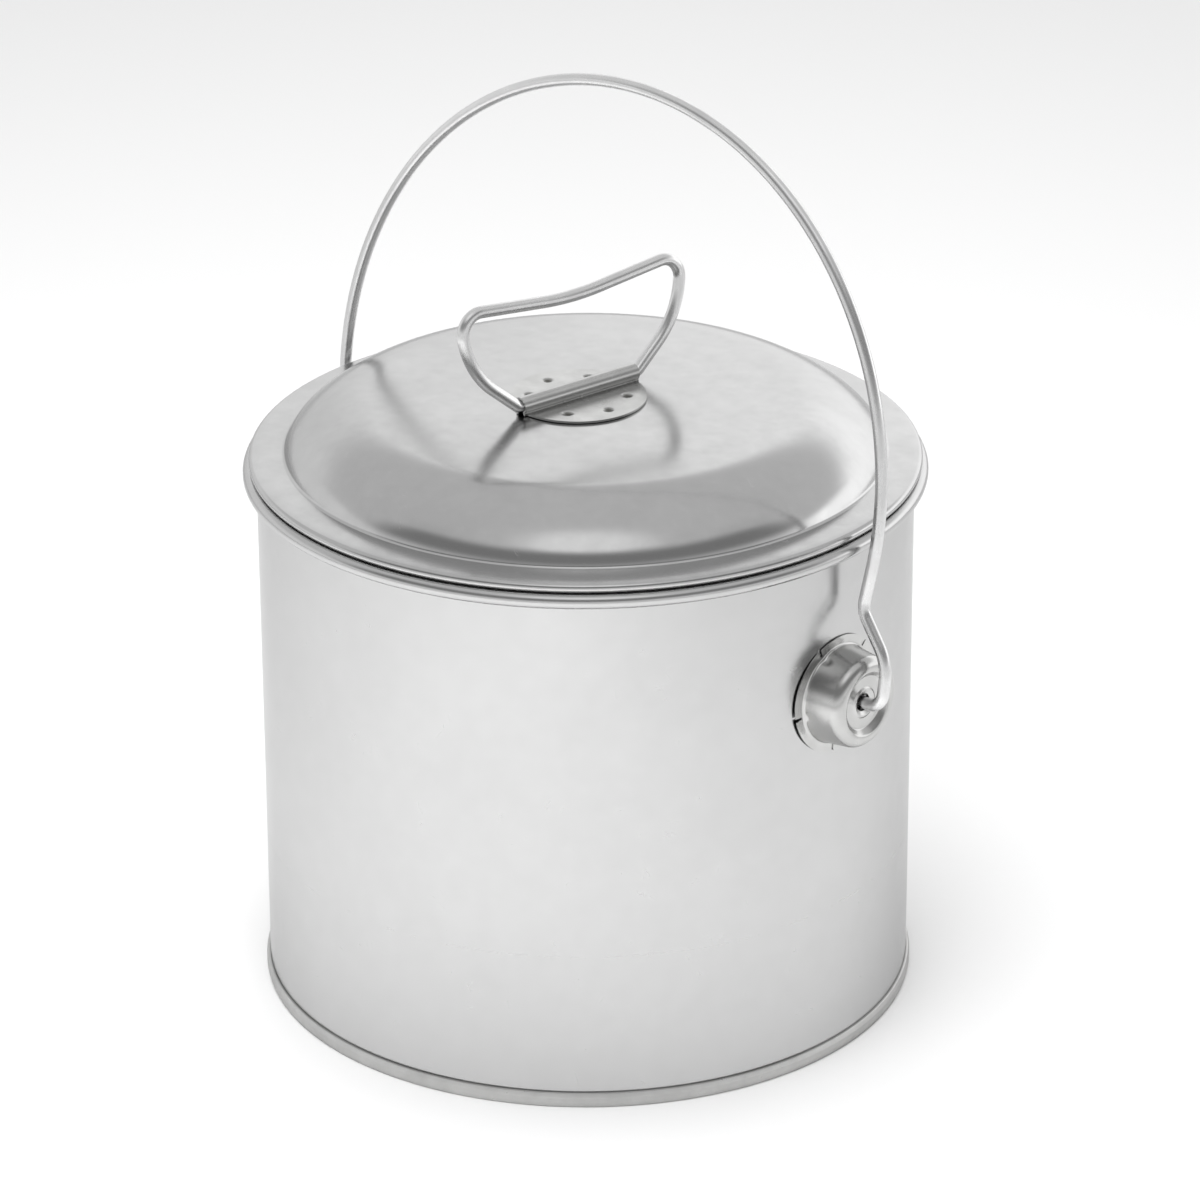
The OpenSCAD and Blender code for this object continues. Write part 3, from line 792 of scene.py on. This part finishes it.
# %% [markdown]
# ## Camera, floor and light
# A long lens from well above the rim looks down on the can. A metal shows its surroundings, so the
# light is drawn as surroundings. The wall of the can mirrors only the pale floor, so two softboxes
# light the floor and stay out of the mirror. The lid mirrors the room: a bright far side, a greyer
# ceiling with one lamp, and on the viewer's side a dark band that draws the steep foot of the dome.

# %% Aim the camera
VIEW_TURN, VIEW_TILT = math.radians(42), math.radians(25.48)
VIEW_DISTANCE, VIEW_HEIGHT, LENS = 1960.0, 89.9, 176.5
AIM_UP, AIM_SIDEWAYS, ROLL = math.radians(1.084), math.radians(0.133), math.radians(-0.26)
toward = Vector((math.sin(VIEW_TURN), -math.cos(VIEW_TURN), 0))
back = toward * math.cos(VIEW_TILT) + Vector((0, 0, math.sin(VIEW_TILT)))
side_way = Vector((math.cos(VIEW_TURN), math.sin(VIEW_TURN), 0))
up = back.cross(side_way)
aim = (-back + up * math.tan(AIM_UP) + side_way * math.tan(AIM_SIDEWAYS)).normalized()
level = aim.to_track_quat("-Z", "Y")
camera = bpy.data.objects.new("camera", bpy.data.cameras.new("camera"))
camera.data.lens = LENS
camera.data.sensor_width = 36
camera.data.clip_end = 20
camera.location = (Vector((0, 0, VIEW_HEIGHT)) + back * VIEW_DISTANCE) * MM
camera.rotation_mode = "QUATERNION"
camera.rotation_quaternion = level @ Matrix.Rotation(ROLL, 3, "Z").to_quaternion()
bpy.context.collection.objects.link(camera)
bpy.context.scene.camera = camera
print("camera", round(VIEW_DISTANCE * MM, 2), "m away")

# %% Lay the floor
FLOOR_HALF = 4.0
corners = [(x * FLOOR_HALF, y * FLOOR_HALF, 0) for x, y in ((-1, -1), (1, -1), (1, 1), (-1, 1))]
floor_mesh = bpy.data.meshes.new("floor")
floor_mesh.from_pydata(corners, [], [(0, 1, 2, 3)])
floor = bpy.data.objects.new("floor", floor_mesh)
bpy.context.collection.objects.link(floor)
paper, paper_tree = new_material("pale_paper")
paper_shader = add(paper_tree, "BsdfPrincipled", {"Base Color": linear("#F3F3F3"), "Roughness": 0.9})
add(paper_tree, "OutputMaterial", {"Surface": paper_shader.outputs[0]})
floor_mesh.materials.append(paper)
print("floor", 2 * FLOOR_HALF, "m across")


# %% Hang the softboxes
def ground(turn, distance):
    """A place on the floor, at an angle in degrees to the right of the camera."""
    a = VIEW_TURN + math.radians(turn)
    return Vector((distance * math.sin(a), -distance * math.cos(a), 0))


def softbox(name, turn, height, distance, width, power, target):
    """A square area light above a place on the floor, turned to face another. It isn't visible to
    glossy rays, so it lights what the metal mirrors and isn't mirrored itself."""
    light = bpy.data.lights.new(name, "AREA")
    light.shape = "RECTANGLE"
    light.size, light.size_y = width, width
    light.energy = power
    box = bpy.data.objects.new(name, light)
    box.location = ground(turn, distance) + Vector((0, 0, height))
    box.rotation_euler = (target - box.location).to_track_quat("-Z", "Y").to_euler()
    box.visible_glossy = False
    bpy.context.collection.objects.link(box)
    print(f"{name}: {power} W")


softbox("floor_softbox", -24, 0.7, 0.5, 0.6, 4.0, ground(-20, 0.42))
softbox("fill_softbox", 180, 1.1, 0.2, 0.9, 6.5, ground(180, 0.2))

# %% The room around
# The strength of the world depends on the way a ray points, from its height and its side.
world = bpy.data.worlds.new("studio")
bpy.context.scene.world = world
world.use_nodes = True
room = world.node_tree
room.nodes.clear()
LAMP_TILT = math.radians(24)
CEILING, LAMP = 0.7, 1.1


def fade(value, start, stop, low=0.0, high=1.0):
    """A smooth change from low to high while the value goes from start to stop."""
    return add(room, "MapRange", {
        "Value": value, "From Min": start, "From Max": stop, "To Min": low, "To Max": high
    }, interpolation_type="SMOOTHSTEP").outputs["Result"]


def blend(factor, first, second):
    return add(room, "Mix", {"Factor": factor, "A": first, "B": second}).outputs["Result"]


def pointing(direction):
    """How far a ray points in a direction: 1 straight along it, 0 across, -1 against it."""
    return add(room, "VectorMath", {0: ray, 1: tuple(direction)}, operation="DOT_PRODUCT").outputs["Value"]


ray = add(room, "TexCoord").outputs["Generated"]
height = add(room, "SeparateXYZ", {"Vector": ray}).outputs["Z"]
facing = pointing(toward)
# The far wall: darker on the left of the camera's view, brighter on the right.
far_wall = fade(pointing(side_way), -0.45, 0.4, 0.95, 1.6)
# A greyer ceiling above it, which starts lower on the viewer's side, and one soft round lamp.
rise = add(room, "Math", {0: facing, 1: 0.25, 2: height}, operation="MULTIPLY_ADD")
upper = blend(fade(rise.outputs[0], 0.21, 0.37), far_wall, CEILING)
to_lamp = pointing(toward * math.sin(LAMP_TILT) + Vector((0, 0, math.cos(LAMP_TILT))))
lit = blend(fade(to_lamp, 0.93, 0.985), upper, LAMP)
# The viewer's side: bright at the floor, dark above it, and open towards the ceiling.
near_side = fade(facing, -0.1, 0.2)
low = fade(height, 0.65, 0.85, 1.0, 0.0)
near_low = add(room, "Math", {0: near_side, 1: low}, operation="MULTIPLY")
near_wall = fade(height, 0.08, 0.4, 0.9, 0.26)
light_level = blend(near_low.outputs[0], lit, near_wall)
shine = add(room, "Background", {"Color": (1, 1, 1, 1), "Strength": light_level})
add(room, "OutputWorld", {"Surface": shine.outputs[0]})
bpy.context.scene.view_settings.view_transform = "Standard"
print("room:", len(room.nodes), "nodes")
